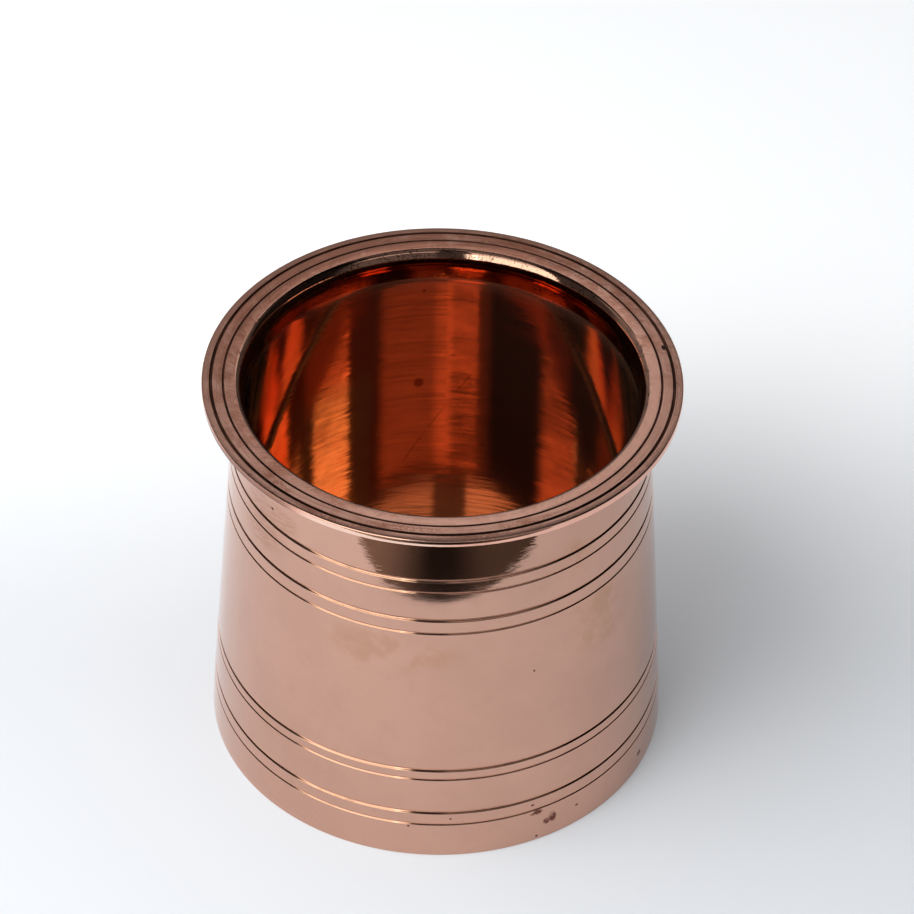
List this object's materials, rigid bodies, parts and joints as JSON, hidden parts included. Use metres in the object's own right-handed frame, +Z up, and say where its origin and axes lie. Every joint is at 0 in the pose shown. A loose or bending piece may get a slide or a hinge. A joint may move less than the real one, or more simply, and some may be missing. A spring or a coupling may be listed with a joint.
{
  "type": "panchpatra",
  "caption": "Open copper ritual water cup: a tapered wall with turned groove pairs, a short neck and a flat grooved rim with a polished lip.",
  "frame": {"origin": "centre of the foot, on the surface that the cup stands on", "axes": "+Z is up along the turning axis; X and Y are alike, and -Y is the side that the picture shows in front"},
  "size_m": [0.09, 0.09, 0.0824],
  "materials": {
    "polished_copper": "copper, polished by buffing on the lathe, with fine turning lines, a satin faced rim and some tarnish",
    "turned_copper": "copper, turned, satin, with fine concentric tool lines",
    "braze_metal": "yellow brazing metal, cleaned, satin"
  },
  "bodies": {
    "root": {"wall_with_rim": "polished_copper", "base_disc": "turned_copper", "base_braze": "braze_metal"}
  },
  "joints": []
}
